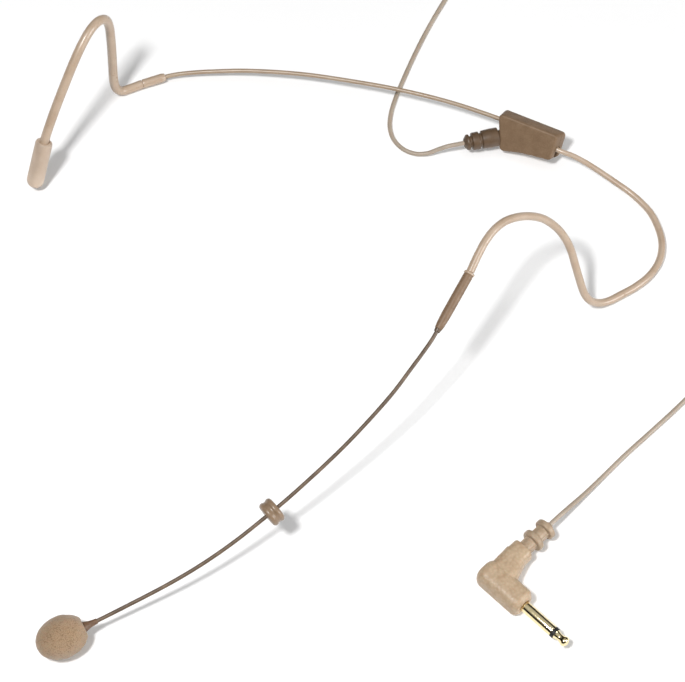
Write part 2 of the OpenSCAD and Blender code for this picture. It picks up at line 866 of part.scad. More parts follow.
module plug_sleeve() {
    root_r = plug_root_d / 2;
    r = plug_d / 2;
    color(gold)
        plug_turned([
            [core_bore_d / 2, -plug_root_len], [root_r, -plug_root_len], [root_r, 0.02], [r, 0.02],
            [r, shaft_sleeve_len], [core_bore_d / 2, shaft_sleeve_len]
        ]);
}

module plug_insulator() {
    inner_r = rod_d / 2 + 0.02;
    outer_r = core_bore_d / 2 - 0.02;
    ring_from = shaft_sleeve_len + 0.01;
    ring_to = shaft_sleeve_len + shaft_ring_len - 0.01;
    color(black)
        plug_turned([
            [inner_r, -plug_root_len + 0.5], [outer_r, -plug_root_len + 0.5], [outer_r, ring_from],
            [plug_d / 2, ring_from], [plug_d / 2, ring_to], [inner_r, ring_to]
        ]);
}

module plug_tip() {
    from = shaft_sleeve_len + shaft_ring_len;
    color(gold)
        plug_turned([
            [0, from], [1.45, from], [1.12, from + 1.2], [1.15, from + 1.5], [1.62, from + 3],
            [1.58, from + 3.5], [1.05, from + 4.3], [0.4, shaft_len], [0, shaft_len]
        ]);
}

module plug_rod() {
    color(brass)
        plug_turned([
            [0, -plug_root_len + 0.1], [rod_d / 2, -plug_root_len + 0.1],
            [rod_d / 2, shaft_sleeve_len + shaft_ring_len - 0.01],
            [0, shaft_sleeve_len + shaft_ring_len - 0.01]
        ]);
}

windscreen();
capsule_housing();
capsule_grille();
electret_capsule();
capsule_seal();
capsule_boot();
boom_tube();
boom_lead();
swivel_pin();
swivel_bush();
boom_sleeve();
sleeve_collar();
sweat_ring();
left_ear_hook();
left_band_jacket();
left_spring_wire();
left_mic_lead();
block_front_cover();
block_rear_cover();
wire_clamp();
splice_board();
solder_joints();
cable_ferrule();
cable_tail();
strain_relief();
right_band_coat();
right_spring_wire();
right_ferrule();
right_ear_hook();
end_cap();
lead_from_block();
lead_coil();
lead_tie();
lead_to_plug();
plug_body();
plug_strain_relief();
plug_sleeve();
plug_insulator();
plug_tip();
plug_rod();
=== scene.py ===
"""Looks of the two-ear headset microphone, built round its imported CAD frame."""

import math

import bmesh
import bpy
from mathutils import Matrix, Vector, noise


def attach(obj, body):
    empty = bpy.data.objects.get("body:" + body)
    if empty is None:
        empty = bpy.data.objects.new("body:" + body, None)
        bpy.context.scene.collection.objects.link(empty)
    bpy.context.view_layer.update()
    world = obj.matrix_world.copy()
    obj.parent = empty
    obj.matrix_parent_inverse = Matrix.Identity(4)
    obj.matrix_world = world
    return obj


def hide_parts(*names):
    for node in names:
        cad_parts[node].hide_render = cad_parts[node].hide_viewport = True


MM = 0.001

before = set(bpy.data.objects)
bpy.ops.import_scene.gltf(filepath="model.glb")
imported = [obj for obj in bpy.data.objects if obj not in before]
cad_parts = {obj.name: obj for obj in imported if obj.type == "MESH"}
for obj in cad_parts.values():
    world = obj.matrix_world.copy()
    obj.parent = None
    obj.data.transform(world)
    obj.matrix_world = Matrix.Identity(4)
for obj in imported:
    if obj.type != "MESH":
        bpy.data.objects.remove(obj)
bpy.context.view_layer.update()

# ---- routes and sizes of the design, in millimetres

# The right side: cap tip, over the ear, down behind it, then along the neckband
RIGHT_ROUTE = [
    (-97.8, 26.8, 5.2), (-97.4, 30.4, 11.9), (-97, 33.9, 18.6), (-96.5, 38.5, 24.6),
    (-96, 43.5, 30), (-95.4, 48.5, 35.2), (-94.9, 53.5, 39.8), (-94.4, 58.7, 43.6),
    (-93.9, 63.7, 45.8), (-93.4, 68.1, 45.6), (-93, 71.5, 42.6), (-92.9, 72.9, 37.4),
    (-92.9, 72.9, 31), (-92.9, 72.5, 24), (-93, 72, 16.6), (-93, 71.5, 9.4), (-92.6, 71.8, 4.6),
    (-91.4, 73.1, 2.1), (-89.2, 75.9, 1.6), (-86.6, 79, 1.8), (-83.7, 82.1, 2.1),
    (-80.8, 84.9, 2.4), (-77.6, 87.4, 2.7), (-73.5, 89.9, 3.1), (-67.2, 93.3, 3.6),
    (-55.4, 98.8, 4.6), (-39.1, 104.5, 6), (-22.2, 109, 7), (-5.1, 112.7, 8),
    (12.3, 115.3, 8.7), (29.4, 116.4, 9.2), (38, 116.2, 9.5),
]
# The left side: inside the splice block, along the neckband, up behind the ear and over it
LEFT_ROUTE = [
    (46, 115.1, 7.6), (53.8, 114.9, 7.5), (57.6, 115.3, 7.1), (62, 115.4, 6.3),
    (66, 115.2, 5.4), (70.6, 114.7, 4.5), (75, 114.1, 3.7), (79.6, 113.4, 2.9), (84.3, 112, 2.3),
    (89, 109.8, 1.8), (93, 106.4, 1.5), (96.3, 102.3, 1.4), (98.4, 97.7, 1.4), (99.2, 92.5, 1.4),
    (98.4, 86.7, 1.4), (96.2, 81.3, 1.4), (93.5, 76.8, 1.4), (90.8, 72.5, 1.6), (88.4, 69.5, 2.9),
    (85.9, 67.3, 5.8), (83.6, 66.9, 9.4), (80.9, 68.1, 14.4), (78.2, 69.7, 19.4),
    (76, 70.9, 23.6), (73.5, 71.5, 27.8), (70.4, 71.1, 32.5), (66.6, 69.1, 37.8),
    (63.3, 65.9, 41.8), (60.2, 61.8, 44.9), (57.7, 57.3, 46.9), (56.2, 52.7, 47.5),
    (55.4, 47.9, 46.9), (55.1, 43, 45), (55.1, 38.1, 42.9),
]
# The boom: out of the sleeve, round the cheek, to the capsule
BOOM_ROUTE = [
    (53.8, 18.7, 36.7), (53.5, 15.1, 35.5), (52.8, 10.9, 34.2), (51.5, 4.2, 32.2),
    (50, -3.1, 29.9), (48.2, -9.7, 27.9), (46.3, -15.9, 26.1), (44.3, -21.9, 24.3),
    (42.2, -27.7, 22.7), (40, -33.4, 21.2), (37.8, -38.9, 19.9), (35.9, -43.5, 18.75),
    (34.2, -47.4, 17.75), (32.5, -51.1, 16.85), (30.8, -54.7, 16), (27.4, -61.7, 14.3),
    (23.6, -68.9, 12.8), (19.5, -75.9, 11.5), (15.3, -82.3, 10.3), (11, -88.4, 9.3),
    (6.8, -94.1, 8.4), (3.2, -99, 7.7), (0.1, -103.2, 7.2),
]
# The point of the boom's route that the sweat ring sits on
RING_POINT = 13

# The lead: from the strain relief down to the table and away, and back in to the plug
LEAD_OUT_ROUTE = [
    (22.8, 104.8, 5), (20.7, 103.05, 5), (18.4, 101.5, 4.5), (15.8, 99.8, 3.2), (12.8, 97.7, 1.6),
    (9, 96.1, 0.85), (4.4, 96, 0.8), (-0.2, 98.1, 0.8), (-3.6, 102.1, 0.8), (-5.8, 107.5, 0.8),
    (-7.2, 114, 0.8), (-8.2, 121.5, 0.8), (-9.2, 130.5, 0.8), (-10, 140.5, 0.8),
    (-10.4, 150.5, 0.8), (-10.4, 160.5, 0.8), (-10, 168.5, 0.85), (-10.4, 174.9, 1.15),
]
LEAD_IN_ROUTE = [
    (1, 193.4, 3.8), (7, 193.2, 3), (13.5, 193.6, 1.6), (22, 195.2, 0.85), (32, 197.3, 0.8),
    (42, 199.9, 0.8), (52, 202.5, 0.8), (62, 203.5, 0.8), (72, 201.5, 0.8), (81, 195.1, 0.8),
    (87, 185.5, 0.8), (92, 174.5, 0.8), (96.8, 162.5, 0.8), (101.5, 150.5, 0.8),
    (106.2, 138.5, 0.8), (111, 126.5, 0.8), (116, 114.5, 0.8), (121, 103, 0.8), (126, 92, 0.8),
    (129.6, 81, 0.8), (131, 69.5, 0.8), (129.2, 58, 0.8), (125.9, 46.5, 0.8), (122, 35, 0.8),
    (118, 23.5, 0.8), (114.8, 12.9, 1), (112.5, 5.1, 1.8), (110.4, -1.7, 3.1),
    (108.9, -6.6, 4.1), (107.5, -11.1, 4.4), (105.6, -16.9, 4.4), (103.8, -22.5, 4.4),
]
LEAD_D = 1.5
# In metres, coil included
COIL_AT = Vector((-2, 182.5, 0.42))
COIL_MEAN_D = 16.6
COIL_COLUMNS = 5
LAYER_PITCH = 1.32
# Column and layer of each turn, in the order that the coil is wound
COIL_SLOTS = [
    (4, 0), (3, 0), (2, 0), (1, 0), (0, 0), (0, 1), (0, 2), (1, 2), (1, 1), (2, 1), (2, 2),
    (3, 2), (3, 1), (4, 1), (4, 2),
]

RELIEF_ROOT = Vector((33, 113.3, 5))
FOAM_AT = Vector((-6.6, -112, 6.5))
FOAM_R = 6.5
FOAM_LEN = 15.4
FOAM_CELL = 0.5
FOAM_MOUTH_ANGLE = 62
BOOT_LEN = 4.2
CAPSULE_LEN = 7

# Where the plug's shaft leaves its body, and the angle that it points at
PLUG_FACE = Vector((112, -39.1, 4.4))
PLUG_HEADING = -18
NECK_AT = -12.9
PEBBLE = 0.78

# The splice block: its outline seen from the front, in its own X and Z
BLOCK_AT = Vector((34, 108.9, 3.5))
BLOCK_LEAN = 32
BLOCK_T = 6
BLOCK_WALL = 0.9
BLOCK_LENGTH = 19.2
BLOCK_OUTLINE = [
    (0.2, -0.6), (8, 1.5), (BLOCK_LENGTH, 3.1), (BLOCK_LENGTH, 12.4), (-3.9, 12),
]
END_SLANT = 1.5
# Where the right wire's hole starts, and the slot that the left jacket leaves through
BAND_HOLE_FROM = Vector((-7, 3.2, 8.85))
SLOT_LOW, SLOT_HIGH = (16, 1.95, 1.66), (24, 4.15, 7.56)


def unit(v):
    return v / v.length


def vectors(points):
    return [Vector(p) for p in points]


def smooth(points, steps):
    """The route's points with steps between each two, on one smooth curve."""
    p = vectors(points)
    last = len(p) - 1
    out = []
    for i in range(last):
        a, b, c, d = p[max(i - 1, 0)], p[i], p[i + 1], p[min(i + 2, last)]
        for k in range(steps):
            t = k / steps
            out.append(
                0.5
                * (2 * b + (c - a) * t + (2 * a - 5 * b + 4 * c - d) * t**2
                   + (3 * b - a - 3 * c + d) * t**3)
            )
    return out + [p[last]]


# Steps between two points of a route, and the steps between two points of the CAD's routes
FINE = 8
HALF = FINE // 2
right_path = smooth(RIGHT_ROUTE, FINE)
left_path = smooth(LEFT_ROUTE, FINE)
boom_path = smooth(BOOM_ROUTE, FINE)
BOOM_END = boom_path[-1]
CAPSULE_DIR = unit(FOAM_AT - BOOM_END)
SLEEVE_TOP = left_path[-1]
SLEEVE_DIR = unit(boom_path[0] - SLEEVE_TOP)
SLEEVE_LEN = 20.4
SLEEVE_END = SLEEVE_TOP + SLEEVE_LEN * SLEEVE_DIR
RELIEF_DIR = unit(Vector(LEAD_OUT_ROUTE[0]) - RELIEF_ROOT)

# Places on the fine routes where one jacket ends and the next starts
RIGHT_HOOK_FROM, RIGHT_HOOK_TO = HALF, 38 * HALF
RIGHT_BAND_FROM, RIGHT_BAND_TO = 42 * HALF, 60 * HALF
LEFT_BAND_FROM, LEFT_HOOK_FROM = HALF, 32 * HALF


# ---- camera


def make_camera():
    """Looks down at the object from in front, on its own left side, as the picture of it does."""
    target = Vector((20, 20.5, 0)) * MM
    azimuth, elevation, distance = math.radians(27), math.radians(60), 0.8
    back = Vector((
        math.sin(azimuth) * math.cos(elevation),
        -math.cos(azimuth) * math.cos(elevation),
        math.sin(elevation),
    ))
    data = bpy.data.cameras.new("camera")
    data.sensor_fit = "HORIZONTAL"
    data.sensor_width = 36
    data.lens = 130.34
    data.clip_start = 0.01
    camera = bpy.data.objects.new("camera", data)
    camera.location = target + distance * back
    camera.rotation_mode = "QUATERNION"
    camera.rotation_quaternion = (-back).to_track_quat("-Z", "Y")
    bpy.context.scene.collection.objects.link(camera)
    bpy.context.scene.camera = camera


# ---- mesh building


def new_object(name, mesh):
    piece = bpy.data.objects.new(name, mesh)
    bpy.context.scene.collection.objects.link(piece)
    return piece


def loft(name, rings, joined=False):
    """A mesh through rings of points in millimetres. A ring of one point closes an end."""
    bm = bmesh.new()
    made = [[bm.verts.new(p * MM) for p in ring] for ring in rings]
    pairs = list(zip(made, made[1:]))
    if joined:
        pairs.append((made[-1], made[0]))
    for low, high in pairs:
        count = max(len(low), len(high))
        for k in range(count):
            n = (k + 1) % count
            if len(low) == 1:
                bm.faces.new((low[0], high[n], high[k]))
            elif len(high) == 1:
                bm.faces.new((low[k], low[n], high[0]))
            else:
                bm.faces.new((low[k], low[n], high[n], high[k]))
    for ring in (made[0], made[-1]):
        if len(ring) > 1 and not joined:
            bm.faces.new(ring)
    bmesh.ops.recalc_face_normals(bm, faces=bm.faces)
    mesh = bpy.data.meshes.new(name)
    bm.to_mesh(mesh)
    bm.free()
    return new_object(name, mesh)


def path_frames(path):
    """The heading and two sideways directions at each point, carried along without twist."""
    frames = []
    side = Vector((0.31, 0.22, 0.93))
    for i in range(len(path)):
        t = unit(path[min(i + 1, len(path) - 1)] - path[max(i - 1, 0)])
        side = unit(side - side.dot(t) * t)
        frames.append((t, side, t.cross(side)))
    return frames


def circle(centre, side, other, r, sides):
    return [
        centre + r * (math.cos(2 * math.pi * k / sides) * side
                      + math.sin(2 * math.pi * k / sides) * other)
        for k in range(sides)
    ]


def jacket(name, path, r_out, r_in, sides=28, lip=0.12, wobble=0.012):
    """A hollow tube along a path, its outer radius a number or a function of the share gone,
    with rounded lips at its ends and the slight unevenness of an extrusion."""
    radius = r_out if callable(r_out) else lambda share: r_out
    unevenness = 0.23
    soft = 0.3 * lip
    frames = path_frames(path)
    rings = []
    last = len(path) - 1
    for i, (p, (t, side, other)) in enumerate(zip(path, frames)):
        r = radius(i / last)
        r *= 1 + wobble * noise.noise(p * unevenness)
        ring = circle(p, side, other, r, sides)
        if i == 0:
            rings.append(circle(p, side, other, r - lip, sides))
            rings.append(circle(p + soft * t, side, other, r - soft, sides))
            ring = circle(p + lip * t, side, other, r, sides)
        rings.append(ring if i < last else circle(p - lip * t, side, other, r, sides))
        if i == last:
            rings.append(circle(p - soft * t, side, other, r - soft, sides))
            rings.append(circle(p, side, other, r - lip, sides))
    for p, (t, side, other) in zip(reversed(path), reversed(frames)):
        rings.append(circle(p, side, other, r_in, sides))
    return loft(name, rings, joined=True)


def along(at, direction):
    """The matrix that puts a shape drawn along +Z at a point, along a direction."""
    turn = Vector((0, 0, 1)).rotation_difference(direction).to_matrix().to_4x4()
    return Matrix.Translation(at) @ turn


def turned(name, outline, place, sides=72, joined=False):
    """A round body turned about Z from an outline of (radius, height), put in its place."""
    rings = []
    for r, z in outline:
        if r < 1e-6:
            rings.append([place @ Vector((0, 0, z))])
        else:
            rings.append([
                place @ Vector((r * math.cos(a), r * math.sin(a), z))
                for a in (2 * math.pi * k / sides for k in range(sides))
            ])
    return loft(name, rings, joined)


def soft_corners(points, radius, steps=4):
    """An outline with an arc at each of its corners. A point's own third number is its radius."""
    nearly_straight, most_of_edge = 1.55, 0.49
    out = []
    count = len(points)
    for i, point in enumerate(points):
        b = Vector(point[:2])
        r = point[2] if len(point) > 2 else radius
        u = Vector(points[i - 1][:2]) - b
        v = Vector(points[(i + 1) % count][:2]) - b
        half = u.angle(v) / 2
        if r <= 0 or half > nearly_straight:
            out.append(tuple(b))
            continue
        reach = min(r / math.tan(half), most_of_edge * u.length, most_of_edge * v.length)
        r = reach * math.tan(half)
        centre = b + unit(unit(u) + unit(v)) * (r / math.sin(half))
        start = b + unit(u) * reach - centre
        sweep = math.pi - 2 * half
        if u.x * v.y - u.y * v.x > 0:
            sweep = -sweep
        for k in range(steps + 1):
            a = sweep * k / steps
            out.append((
                centre.x + start.x * math.cos(a) - start.y * math.sin(a),
                centre.y + start.x * math.sin(a) + start.y * math.cos(a),
            ))
    return out


def shell(name, outline, place, radius=0.15, sides=72):
    """A ring-shaped turned body with soft edges."""
    return turned(name, soft_corners(outline, radius), place, sides, joined=True)


def settled(piece):
    """Applies a piece's modifiers."""
    bpy.context.view_layer.update()
    graph = bpy.context.evaluated_depsgraph_get()
    mesh = bpy.data.meshes.new_from_object(piece.evaluated_get(graph))
    old = piece.data
    piece.modifiers.clear()
    piece.data = mesh
    bpy.data.meshes.remove(old)
    return piece


def combine(piece, others, operation):
    """Cuts the others away from a piece, or joins them to it."""
    for other in others:
        modifier = piece.modifiers.new("combine", "BOOLEAN")
        modifier.operation = operation
        modifier.solver = "EXACT"
        modifier.object = other
        settled(piece)
    for other in others:
        bpy.data.objects.remove(other)
    return piece


def bore(name, r, low, high, place, sides):
    """A plain cylinder from one height of its place to another."""
    return turned(name, [(0, low), (r, low), (r, high), (0, high)], place, sides)


def box_of(name, low, high, place):
    x0, y0, z0 = low
    x1, y1, z1 = high
    floor = [Vector(p) for p in ((x0, y0, z0), (x1, y0, z0), (x1, y1, z0), (x0, y1, z0))]
    roof = [p + Vector((0, 0, z1 - z0)) for p in floor]
    return loft(name, [[place @ p for p in floor], [place @ p for p in roof]])


def moulded(piece, voxel, rounds):
    """Melts overlapping shapes into one skin with soft inner and outer corners."""
    remesh = piece.modifiers.new("skin", "REMESH")
    remesh.mode = "VOXEL"
    remesh.voxel_size = voxel * MM
    soften = piece.modifiers.new("soften", "SMOOTH")
    soften.factor = 0.5
    soften.iterations = rounds
    return settled(piece)


def joined_up(name, pieces):
    """One object that holds several pieces' meshes."""
    bm = bmesh.new()
    for piece in pieces:
        bm.from_mesh(piece.data)
        bpy.data.objects.remove(piece)
    mesh = bpy.data.meshes.new(name)
    bm.to_mesh(mesh)
    bm.free()
    return new_object(name, mesh)


def pushed(piece, height):
    """Moves each of a piece's points outwards by height(point), both in mm."""
    vertices = piece.data.vertices
    normals = [vertex.normal.copy() for vertex in vertices]
    for vertex, normal in zip(vertices, normals):
        vertex.co += normal * height(vertex.co / MM) * MM
    return piece


def shaded(piece, angle=38):
    """Smooth shading, with edges sharper than the angle left crisp."""
    piece.data.shade_smooth()
    piece.data.set_sharp_from_angle(angle=math.radians(angle))
    return piece


# ---- materials


def srgb(*rgb):
    """A display colour, 0 to 255, as the shader's linear colour."""
    out = [c / 255 for c in rgb]
    out = [c / 12.92 if c <= 0.04045 else ((c + 0.055) / 1.055) ** 2.4 for c in out]
    return (*out, 1)


class Finish:
    """A material, with short calls for the patterns that it is built from. Scales are in mm."""

    def __init__(self, name, **sockets):
        self.material = bpy.data.materials.new(name)
        self.material.use_nodes = True
        self.nodes = self.material.node_tree.nodes
        self.links = self.material.node_tree.links
        self.shader = self.nodes["Principled BSDF"]
        self.place = self.nodes.new("ShaderNodeTexCoord").outputs["Object"]
        for socket, value in sockets.items():
            self.shader.inputs[socket.replace("_", " ")].default_value = value

    def spread(self, size, stretch=(1, 1, 1)):
        """Coordinates in which one unit is a pattern's size in mm, longer where stretched."""
        mapping = self.nodes.new("ShaderNodeMapping")
        mapping.inputs["Scale"].default_value = [1 / (size * MM * s) for s in stretch]
        self.links.new(self.place, mapping.inputs["Vector"])
        return mapping.outputs["Vector"]

    def clouds(self, size, detail=3, stretch=(1, 1, 1)):
        node = self.nodes.new("ShaderNodeTexNoise")
        node.inputs["Scale"].default_value = 1
        node.inputs["Detail"].default_value = detail
        self.links.new(self.spread(size, stretch), node.inputs["Vector"])
        return node.outputs["Fac"]

    def cells(self, size, feature="SMOOTH_F1"):
        node = self.nodes.new("ShaderNodeTexVoronoi")
        node.feature = feature
        node.inputs["Scale"].default_value = 1
        self.links.new(self.spread(size), node.inputs["Vector"])
        return node.outputs["Distance"]

    def scaled(self, source, low, high, to_low, to_high):
        node = self.nodes.new("ShaderNodeMapRange")
        for socket, value in zip(("From Min", "From Max", "To Min", "To Max"),
                                 (low, high, to_low, to_high)):
            node.inputs[socket].default_value = value
        self.links.new(source, node.inputs["Value"])
        return node.outputs["Result"]

    def sum(self, a, b):
        node = self.nodes.new("ShaderNodeMath")
        node.operation = "ADD"
        self.links.new(a, node.inputs[0])
        self.links.new(b, node.inputs[1])
        return node.outputs[0]

    def colour(self, source, *stops):
        """Base colour by a pattern's value: each stop is (value, colour)."""
        ramp = self.nodes.new("ShaderNodeValToRGB")
        points = ramp.color_ramp.elements
        while len(points) < len(stops):
            points.new(0.5)
        for point, (value, rgb) in zip(points, stops):
            point.position = value
            point.color = srgb(*rgb)
        self.links.new(source, ramp.inputs["Fac"])
        self.links.new(ramp.outputs["Color"], self.shader.inputs["Base Color"])
        return self

    def roughness(self, source, smoothest, roughest):
        self.links.new(self.scaled(source, 0.3, 0.7, smoothest, roughest),
                       self.shader.inputs["Roughness"])
        return self

    def bump(self, source, depth):
        """Raises the surface by a pattern, depth mm from its lowest to its highest."""
        node = self.nodes.new("ShaderNodeBump")
        node.inputs["Strength"].default_value = 1
        node.inputs["Distance"].default_value = depth * MM
        self.links.new(source, node.inputs["Height"])
        socket = self.shader.inputs["Normal"]
        if socket.links:
            self.links.new(socket.links[0].from_socket, node.inputs["Normal"])
        self.links.new(node.outputs["Normal"], socket)
        return self


def soft_tan(name, *tones):
    """Satin flesh-coloured tubing: faint mottling and handling marks."""
    f = Finish(name, Subsurface_Weight=0.08, Subsurface_Scale=0.001, Specular_IOR_Level=0.55,
               Coat_Weight=0.15, Coat_Roughness=0.2)
    f.shader.inputs["Subsurface Radius"].default_value = (1, 0.55, 0.35)
    mottle = f.sum(f.scaled(f.clouds(6, 4), 0.3, 0.7, 0, 0.75),
                   f.scaled(f.clouds(0.35, 3), 0.3, 0.7, 0, 0.25))
    f.colour(mottle, *zip((0.1, 0.5, 0.9), tones))
    f.roughness(f.clouds(1.6, 4), 0.27, 0.38)
    return f.bump(f.clouds(0.28, 3), 0.004).bump(f.clouds(2.4, 2), 0.012).material


def brown_rubber():
    """Moulded brown rubber with a dull bloom and a fine grain."""
    f = Finish("brown_rubber", Specular_IOR_Level=0.45)
    tone = f.sum(f.scaled(f.clouds(2.5, 4), 0.3, 0.7, 0, 0.6),
                 f.scaled(f.clouds(0.2, 2), 0.3, 0.7, 0, 0.4))
    f.colour(tone, (0.2, (114, 90, 67)), (0.6, (126, 101, 78)), (0.9, (137, 112, 89)))
    f.roughness(f.clouds(0.9, 4), 0.42, 0.58)
    return f.bump(f.clouds(0.16, 3), 0.010).bump(f.clouds(1.2, 2), 0.015).material


def block_plastic():
    """Spark-eroded hard plastic, browner than the tubes."""
    f = Finish("block_plastic", Specular_IOR_Level=0.4)
    tone = f.sum(f.scaled(f.clouds(3.2, 5), 0.3, 0.7, 0, 0.5),
                 f.scaled(f.cells(0.3), 0, 0.8, 0, 0.5))
    f.colour(tone, (0.15, (110, 87, 64)), (0.5, (120, 96, 72)), (0.9, (131, 107, 83)))
    f.roughness(f.clouds(0.6, 4), 0.44, 0.56)
    return f.bump(f.cells(0.26), 0.018).bump(f.clouds(0.9, 3), 0.01).material


def foam_skin():
    """Fine open-cell foam: pale strands, with painted shade darkening the pores that the bump
    sinks.
    """
    f = Finish("foam_skin", Roughness=0.95, Specular_IOR_Level=0.15, Sheen_Weight=0.25,
               Sheen_Roughness=0.6, Subsurface_Weight=0.2, Subsurface_Scale=0.0015)
    # Painted shade: the cell pattern that sinks the pores in the bump below also darkens the colour
    # there
    pore_shade = f.scaled(f.cells(0.34, "F1"), 0.15, 0.8, 0, 0.7)
    patch = f.scaled(f.clouds(3.5, 4), 0.3, 0.7, 0, 0.3)
    f.colour(f.sum(pore_shade, patch), (0.1, (159, 135, 108)), (0.5, (152, 127, 100)),
             (0.8, (138, 114, 88)), (0.98, (117, 92, 68)))
    return f.bump(f.cells(0.34, "F1"), -0.05).bump(f.clouds(0.2, 3), 0.03).material


def boom_coat():
    """Dark brown enamel on a thin tube, with rubbed lighter spots."""
    f = Finish("boom_coat", Specular_IOR_Level=0.5)
    tone = f.sum(f.scaled(f.clouds(4, 4), 0.3, 0.7, 0, 0.6),
                 f.scaled(f.clouds(0.3, 3), 0.3, 0.7, 0, 0.4))
    f.colour(tone, (0.2, (78, 61, 45)), (0.6, (97, 79, 61)), (0.92, (120, 100, 80)))
    f.roughness(f.clouds(1.1, 3), 0.3, 0.46)
    return f.bump(f.clouds(0.22, 3), 0.008).material


def lead_jacket():
    """Thin soft cable jacket, a little dull, with faint kinks of colour."""
    f = Finish("lead_jacket", Specular_IOR_Level=0.45, Subsurface_Weight=0.08,
               Subsurface_Scale=0.0008)
    tone = f.sum(f.scaled(f.clouds(8, 3), 0.3, 0.7, 0, 0.6),
                 f.scaled(f.clouds(0.3, 2), 0.3, 0.7, 0, 0.4))
    f.colour(tone, (0.2, (157, 142, 126)), (0.55, (164, 150, 134)), (0.9, (173, 159, 143)))
    f.roughness(f.clouds(1.5, 3), 0.34, 0.46)
    return f.bump(f.clouds(0.2, 3), 0.006).material


def cap_film():
    """Milky clear silicone."""
    f = Finish("cap_film", IOR=1.38, Transmission_Weight=0.5, Specular_IOR_Level=0.5)
    f.colour(f.clouds(2.2, 3), (0.3, (210, 191, 172)), (0.7, (217, 200, 182)))
    f.roughness(f.clouds(1.1, 3), 0.3, 0.38)
    return f.bump(f.clouds(1.5, 2), 0.008).material


def pebbled_plastic_hollow_shade():
    """Moulded tan plastic with a coarse pebbled skin, with painted shade in the hollows between the
    pebbles.
    """
    f = Finish("pebbled_plastic_hollow_shade", Specular_IOR_Level=0.42, Subsurface_Weight=0.08,
               Subsurface_Scale=0.001)
    pebble = f.cells(0.78)
    # Painted shade: the pebble pattern that sinks the hollows in the bump below also darkens the
    # colour there
    tone = f.sum(f.scaled(pebble, 0, 0.8, 0, 0.6), f.scaled(f.clouds(4, 4), 0.3, 0.7, 0, 0.4))
    f.colour(tone, (0.1, (188, 166, 140)), (0.5, (177, 154, 127)), (0.9, (163, 138, 111)))
    f.roughness(f.clouds(0.8, 3), 0.36, 0.5)
    return f.bump(pebble, -0.07).bump(f.clouds(0.18, 3), 0.008).material


def relief_plastic_hollow_shade():
    """The plug's softer moulding: the same tan, with a finer skin and painted shade in its hollows.
    """
    f = Finish("relief_plastic_hollow_shade", Specular_IOR_Level=0.42, Subsurface_Weight=0.08,
               Subsurface_Scale=0.001)
    # Painted shade: the cell pattern that sinks the hollows in the bump below also darkens the
    # colour there
    tone = f.sum(f.scaled(f.cells(0.4), 0, 0.8, 0, 0.5),
                 f.scaled(f.clouds(2, 4), 0.3, 0.7, 0, 0.5))
    f.colour(tone, (0.1, (174, 154, 131)), (0.5, (164, 143, 120)), (0.9, (150, 129, 105)))
    f.roughness(f.clouds(0.6, 3), 0.38, 0.52)
    return f.bump(f.cells(0.4), -0.02).bump(f.clouds(0.2, 3), 0.008).material


def metal(name, light, dark, size, smoothest, roughest, stretch=(1, 1, 1), depth=0.004):
    """Bare or plated metal: cloudy tone, fine working marks and uneven polish."""
    f = Finish(name, Metallic=1.0)
    f.colour(f.clouds(size * 6, 4), (0.3, dark), (0.7, light))
    f.roughness(f.clouds(size * 3, 4), smoothest, roughest)
    return f.bump(f.clouds(size, 3, stretch), depth).material


def dull(name, light, dark, size, smoothest=0.45, roughest=0.65, depth=0.01):
    """Plain moulded stuff: cloudy tone and a fine grain."""
    f = Finish(name)
    f.colour(f.clouds(size * 8, 4), (0.3, dark), (0.7, light))
    f.roughness(f.clouds(size * 3, 4), smoothest, roughest)
    return f.bump(f.clouds(size, 3), depth).material


finishes = {
    "foam": foam_skin(),
    "brown_rubber": brown_rubber(),
    "boom_coating": boom_coat(),
    "tan_soft": soft_tan("soft_tan", (169, 147, 126), (177, 156, 135), (183, 163, 144)),
    "band_coat": soft_tan("band_coat", (149, 128, 105), (157, 136, 114), (164, 145, 123)),
    "tan_hard": block_plastic(),
    "lead_jacket": lead_jacket(),
    "clear_cap": cap_film(),
    "plug_tan": pebbled_plastic_hollow_shade(),
    "plug_relief": relief_plastic_hollow_shade(),
    "gold": metal("gold_plate", (246, 232, 190), (236, 218, 166), 0.14, 0.08, 0.16, depth=0.001),
    "boot_rubber": dull("boot_rubber", (117, 89, 67), (89, 65, 47), 0.12, 0.4, 0.55),
    "ring_rubber": dull("ring_rubber", (140, 117, 95), (126, 105, 83), 0.3, 0.26, 0.38, 0.006),
    # The relief's rubber: partly a darker rubber, partly painted shade of the relief's grooves
    # spread over its whole colour
    "relief_rubber_and_groove_shade": dull("relief_rubber_and_groove_shade", (97, 76, 56), (82, 63, 44), 0.25, 0.35, 0.5),
    "black_plastic": dull("black_plastic", (26, 24, 22), (14, 13, 12), 0.2),
    "black_rubber": dull("black_rubber", (40, 38, 36), (24, 23, 22), 0.25, 0.6, 0.8),
    "capsule_metal": metal("capsule_metal", (186, 180, 172), (150, 143, 134), 0.2, 0.3, 0.45),
    "copper": metal("copper", (226, 150, 104), (190, 112, 70), 0.15, 0.25, 0.4),
    "brass": metal("brass", (226, 196, 120), (190, 156, 82), 0.18, 0.25, 0.4),
    "spring_steel": metal("spring_steel", (204, 204, 206), (168, 168, 172), 0.15, 0.2, 0.35),
    "board": dull("solder_mask", (46, 104, 64), (30, 80, 48), 0.3, 0.3, 0.45),
    "solder": metal("solder", (214, 214, 218), (180, 180, 186), 0.2, 0.25, 0.45),
}


def dressed(piece, body, slot, *nodes, finish=None):
    """Gives a piece its material, from its finish or else its slot's, puts it on its body and hides
    the CAD nodes that it stands for.
    """
    piece.data.materials.clear()
    piece.data.materials.append(finishes[finish or slot])
    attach(piece, body)
    if nodes:
        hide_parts(*nodes)
    return piece


# ---- lead


